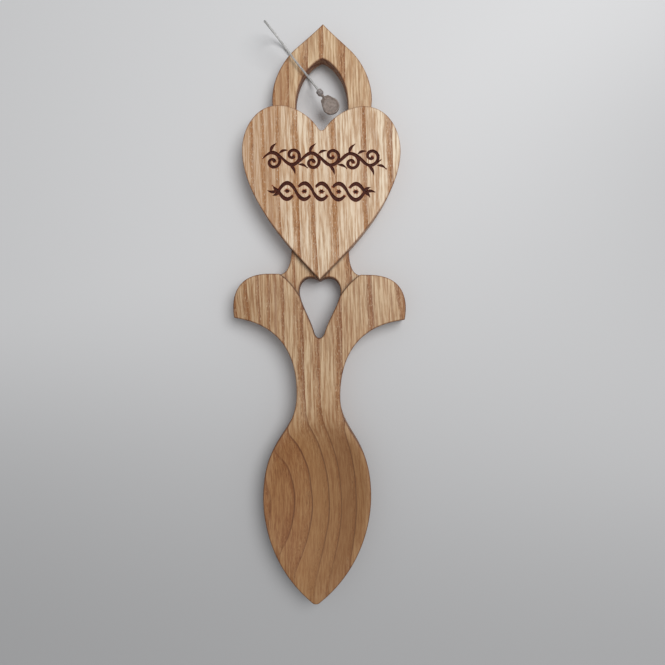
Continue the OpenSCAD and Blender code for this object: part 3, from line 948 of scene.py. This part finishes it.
def stroke_sides(points, widths, by):
    """Two rows of points, this far inside the two sides of a stroke."""
    tangent = np.gradient(points, axis=0)
    tangent /= np.maximum(np.linalg.norm(tangent, axis=1), 1e-9)[:, None]
    normal = np.column_stack([-tangent[:, 1], tangent[:, 0]])
    aside = normal * np.maximum(widths - by, 0.02)[:, None]
    return points + aside, points - aside


def is_heart(p):
    """Which points are on the raised heart."""
    return inside(p, heart_line)


def heart_top(flat, gap):
    """Height of the heart's face with its cut strokes, and its marks."""
    wave = ripple(flat, size=19, amount=0.03, seed=3) * smooth_step(gap, 0.4, 3)
    z = BOARD_T - rounded(gap, HEART_EDGE) + wave
    cut = cut_depth(flat)
    burn = smooth_step(cut, -0.16, 0.06)
    z = z - ENGRAVE_DEPTH * smooth_step(cut, -0.03, 0.09)
    return z, {"edge": np.clip(1 - gap / 0.55, 0, 1) ** 0.8, "burn": burn}


def heart_bottom(flat, gap):
    """Height of the heart's underside, which stands on the board."""
    return Z_RECESS + rounded(gap, HEART_FOOT)


cuts = [row for points, widths in engraving for by in STROKE_ROWS
    for row in stroke_sides(points, widths, by)]
raised = relief_plate("raised_heart", [heart_line], is_heart, [], HEART_GRID, heart_top,
    heart_bottom, extra=cuts, rows=3)
raised.data.materials.append(ash("heart_ash", burnt=True))
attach(raised, "spoon")
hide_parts("heart")


# The tag tie: its filament is one loop, from the lock bead over the arm and back under it

ROUTE = [
    (-1.6, 91.9, 8.1), (-3, 93.6, 8.3), (-5.3, 96.4, 8.6), (-7.8, 99.4, 8.7), (-10.7, 102.9, 8.8),
    (-13.6, 106.4, 9.2), (-16.3, 109.4, 10.4), (-19, 112.2, 11.9), (-21.2, 114.4, 13),
    (-22.7, 116.1, 13.3), (-23.4, 117.4, 12.2), (-23.1, 118.1, 10), (-22.1, 118.1, 7.4),
    (-20.7, 117.6, 4.8), (-19, 116.4, 2.6), (-17, 114.5, 1.2), (-14.9, 111.9, 0.6),
    (-12.3, 108.6, 0.55), (-9.3, 104.9, 0.55), (-6.6, 101.5, 0.6), (-4.9, 98.8, 1.6),
    (-3.5, 96.4, 3.4), (-2.6, 94.5, 5.2), (-1.9, 93, 6.5), (-1.6, 91.9, 6.9)]
FILAMENT_D = 0.9
LOCK_AT = Vector((-0.8, 91, 7.5))
TIE_OUT = Vector((-0.64, 0.768, 0))
BEAD_R, BEAD_H = 1.3, 1.2
DISC_R, DISC_T, DISC_REACH = 3.5, 0.6, 7.1


def through(points, steps=6):
    """A smooth line through the points."""
    p = np.array(points, float)
    line = []
    for i in range(len(p) - 1):
        before, a, b, after = p[max(i - 1, 0)], p[i], p[i + 1], p[min(i + 2, len(p) - 1)]
        for t in np.linspace(0, 1, steps, endpoint=False):
            bend, twist = 2 * before - 5 * a + 4 * b - after, 3 * a - before - 3 * b + after
            line.append(0.5 * (2 * a + (b - before) * t + bend * t * t + twist * t**3))
    return np.array(line + [p[-1]])


def turned(name, profile, at, axis, segments=72):
    """A closed round piece from (radius, distance along its axis) points in millimetres."""
    verts, faces = [], []
    pointed = [r < 1e-6 for r, h in profile]
    first = []
    for (r, h), point in zip(profile, pointed):
        first.append(len(verts))
        for k in range(1 if point else segments):
            a = 2 * math.pi * k / segments
            verts.append((r * math.cos(a), r * math.sin(a), h))
    for i in range(len(profile) - 1):
        for k in range(segments):
            m = (k + 1) % segments
            a, b = first[i], first[i + 1]
            if pointed[i]:
                faces.append((a, b + m, b + k))
            elif pointed[i + 1]:
                faces.append((a + k, a + m, b))
            else:
                faces.append((a + k, a + m, b + m, b + k))
    spin = Vector((0, 0, 1)).rotation_difference(axis).to_matrix()
    return solid(name, [((spin @ Vector(v)) + at) * MM for v in verts], faces, ROUND_SHARP)


clear = nylon("clear_nylon", (206, 205, 203), 0.45, 0.16)
cloudy = nylon("lock_nylon", (158, 150, 147), 0.30, 0.28)
disc_nylon = nylon("disc_nylon", (150, 134, 124), 0.25, 0.34, 0.6)

filament_data = bpy.data.curves.new("tie_loop", "CURVE")
filament_data.dimensions = "3D"
filament_data.bevel_depth = FILAMENT_D / 2 * MM
filament_data.bevel_resolution = 5
filament_data.use_fill_caps = True
spline = filament_data.splines.new("POLY")
route = through(ROUTE)
spline.points.add(len(route) - 1)
for spot, at in zip(spline.points, route):
    spot.co = (*(at * MM), 1)
filament = add_object("tie_loop", filament_data)
filament_data.materials.append(clear)
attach(filament, "tag_tie")
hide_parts("tie_filament")

# The bead's outline, in shares of its radius and of half its length
bead_line = np.array([(0, -1), (0.5, -1), (0.62, -0.97), (0.9, -0.62), (0.98, -0.44), (1, -0.3),
    (1, 0.1), (0.955, 0.16), (0.955, 0.28), (1, 0.34), (1, 0.6), (0.97, 0.8), (0.88, 0.96),
    (0.8, 1), (0.36, 1), (0.3, 0.9), (0, 0.9)])
bead = turned("lock_bead", bead_line * (BEAD_R, BEAD_H), LOCK_AT, TIE_OUT)
bead.data.materials.append(cloudy)
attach(bead, "tag_tie")
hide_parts("tie_lock")

# The disc is thin in the middle, with a thicker rounded rim
disc_line = [(0, 0.35), (1.2, 0.345), (2.2, 0.33), (DISC_R - 0.85, 0.34), (DISC_R - 0.70, 0.40),
    (DISC_R - 0.58, 0.54), (DISC_R - 0.42, DISC_T), (DISC_R - 0.20, 0.97 * DISC_T),
    (DISC_R - 0.06, 0.78 * DISC_T), (DISC_R, 0.4 * DISC_T)]
disc_line += [(r, -h) for r, h in disc_line[::-1]]
disc = turned("grip_disc", disc_line[::-1], LOCK_AT - DISC_REACH * TIE_OUT, Vector((0, 0, 1)), 96)

neck_from, neck_to = 1.15, DISC_REACH - DISC_R + 0.4
neck_line = [(0, neck_from), (0.62, neck_from), (0.60, neck_from + 0.3), (0.52, neck_from + 0.7),
    (0.52, neck_to - 0.6), (0.56, neck_to - 0.25), (0.50, neck_to), (0, neck_to)]
neck = turned("grip_neck", neck_line, LOCK_AT, -TIE_OUT, 40)


def grip_web():
    """The thin web that widens from the neck to the disc's rim and ends under it."""
    across = Vector((-TIE_OUT.y, TIE_OUT.x, 0))
    side = [(1.38 * DISC_R, 0.46), (1.31 * DISC_R, 1.10), (1.265 * DISC_R, 0.49 * DISC_R),
        (1.24 * DISC_R, 0.54 * DISC_R), (1.17 * DISC_R, 0.575 * DISC_R),
        (0.43 * DISC_R, 0.9 * DISC_R), (0.36 * DISC_R, 0.89 * DISC_R)]
    under_rim = [(0.87 * DISC_R * math.cos(turn), 0.87 * DISC_R * math.sin(turn))
        for turn in np.linspace(1.2, -1.2, 17)]
    outline = np.array(side + under_rim + [(a, -b) for a, b in side[::-1]])
    middle = np.array([0.95 * DISC_R, 0])
    levels = [(0.94, -0.37), (1.0, -0.22), (1.0, 0.22), (0.94, 0.37)]
    verts, faces, count = [], [], len(outline)
    for share, height in levels:
        for a, b in (middle + (outline - middle) * share).tolist():
            spot = LOCK_AT - (DISC_REACH - a) * TIE_OUT + b * across + Vector((0, 0, height))
            verts.append(spot * MM)
    for low in range(0, (len(levels) - 1) * count, count):
        for k in range(count):
            m = (k + 1) % count
            faces.append((low + k, low + m, low + count + m, low + count + k))
    faces.append(tuple(range(count))[::-1])
    faces.append(tuple(range((len(levels) - 1) * count, len(levels) * count)))
    return solid("grip_web", verts, faces, WEB_SHARP)


web = grip_web()
for piece in (disc, neck, web):
    piece.data.materials.append(disc_nylon)
    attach(piece, "tag_tie")
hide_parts("tie_disc")


# A pale floor with painted shade towards the lower left, and soft light from the upper right

FLOOR_SIZE = 9.0
FLOOR_SINK = 0.0001
LAMP_AT, LAMP_SIZE, LAMP_POWER = (0.23, 0.18, 0.52), 0.44, 2.25
ROOM_COLOUR, ROOM_LIGHT = (0.98, 0.99, 1.0, 1), 0.42


def floor_material():
    """A pale table, darker towards the lower left as painted shade where the light falls off, and
    of one tone far away.
    """
    n = Nodes("floor")
    x, y, z = n.object_mm()
    # Painted shade: darker towards the lower left
    near = (y + x * y.ramp(-80.0, 100.0, 0.0, -0.9)).ramp(-150.0, 60.0)
    far = n.math("SQRT", x * x + y * y).ramp(190.0, 480.0)
    shade = near * (1.0 - far) + far * 0.5
    n.set(Base_Color=n.mix(shade, srgb(181, 181, 182), srgb(216, 216, 217)), Roughness=0.75,
        Specular_IOR_Level=0.2)
    return n.material


corners = [(a * FLOOR_SIZE, b * FLOOR_SIZE, 0) for a, b in ((-1, -1), (1, -1), (1, 1), (-1, 1))]
floor_data = bpy.data.meshes.new("floor")
floor_data.from_pydata(corners, [], [(0, 1, 2, 3)])
floor = add_object("floor", floor_data)
floor.location = (0, 0, -FLOOR_SINK)
floor_data.materials.append(floor_material())

lamp_data = bpy.data.lights.new("window", "AREA")
lamp_data.shape = "DISK"
lamp_data.size = LAMP_SIZE
lamp_data.energy = LAMP_POWER
lamp = add_object("window", lamp_data)
lamp.location = LAMP_AT
lamp.rotation_euler = (-Vector(LAMP_AT)).to_track_quat("-Z", "Y").to_euler()

world = bpy.data.worlds.new("room")
world.use_nodes = True
background = world.node_tree.nodes["Background"]
background.inputs["Color"].default_value = ROOM_COLOUR
background.inputs["Strength"].default_value = ROOM_LIGHT
bpy.context.scene.world = world
bpy.context.scene.view_settings.view_transform = "Standard"
